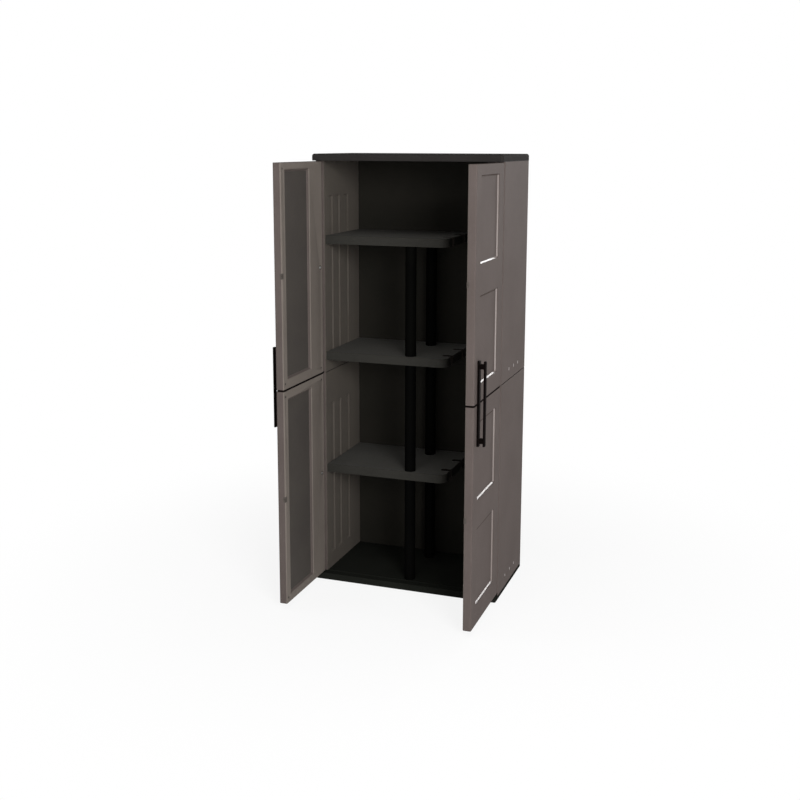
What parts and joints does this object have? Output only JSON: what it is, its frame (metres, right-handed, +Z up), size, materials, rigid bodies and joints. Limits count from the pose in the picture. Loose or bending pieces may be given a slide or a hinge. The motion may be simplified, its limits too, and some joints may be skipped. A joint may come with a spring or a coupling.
{
  "type": "garden storage cabinet",
  "caption": "Tall plastic utility cabinet with two recessed-panel doors, shelves on posts at the left and an open space for long tools at the right.",
  "frame": {"origin": "middle of the base's underside, at floor level", "axes": "+X to the right as seen from the front, +Y to the back wall, +Z up; the doors open towards -Y"},
  "size_m": [0.778, 0.7261, 1.635],
  "materials": {
    "wall": "taupe-grey moulded polypropylene, fine satin grain",
    "dark": "near-black moulded polypropylene, satin",
    "shelf": "dark grey moulded polypropylene, fine matte grain",
    "post": "black extruded polypropylene tube, satin",
    "steel": "zinc-plated steel, slightly dulled",
    "handle": "black moulded polypropylene, satin"
  },
  "bodies": {
    "cabinet": {"base": "dark", "lid": "dark", "back_lower": "dark", "back_upper": "dark", "back_strip": "dark", "side_lower_left": "wall", "liner_lower_left": "wall", "side_lower_right": "wall", "liner_lower_right": "wall", "side_upper_left": "wall", "liner_upper_left": "wall", "side_upper_right": "wall", "liner_upper_right": "wall", "clips_base_left": "wall", "clips_seam_left": "wall", "hinge_plate_left": "dark", "clips_base_right": "wall", "clips_seam_right": "wall", "hinge_plate_right": "dark", "shelf_lower": "shelf", "shelf_middle": "shelf", "shelf_upper": "shelf", "post_front_lower": "post", "post_front_middle": "post", "post_front_upper": "post", "post_rear_lower": "post", "post_rear_middle": "post", "post_rear_upper": "post"},
    "left_door": {"door_shell_lower_left": "wall", "door_skin_lower_left": "wall", "door_shell_upper_left": "wall", "door_skin_upper_left": "wall", "handle_left": "handle", "joiner_left": "dark", "skin_screws_left": "steel", "hinge_bolts_left": "steel", "bolt_washers_left": "dark", "catch_sockets_left": "wall", "hinge_pin_base_left": "steel", "hinge_pin_middle_left": "steel", "hinge_pin_lid_left": "steel"},
    "right_door": {"door_shell_lower_right": "wall", "door_skin_lower_right": "wall", "door_shell_upper_right": "wall", "door_skin_upper_right": "wall", "handle_right": "handle", "joiner_right": "dark", "skin_screws_right": "steel", "hinge_bolts_right": "steel", "bolt_washers_right": "dark", "catch_studs_right": "wall", "hinge_pin_base_right": "steel", "hinge_pin_middle_right": "steel", "hinge_pin_lid_right": "steel"}
  },
  "joints": [
    {"name": "right_door_hinge", "type": "hinge", "parent": "cabinet", "child": "right_door", "pos_m": [0.345, -0.1825, 0.0275], "axis": [0, 0, 1], "range_deg": [-90, 90]},
    {"name": "left_door_hinge", "type": "hinge", "parent": "cabinet", "child": "left_door", "pos_m": [-0.345, -0.1825, 0.0275], "axis": [0, 0, -1], "range_deg": [-90, 90]}
  ]
}
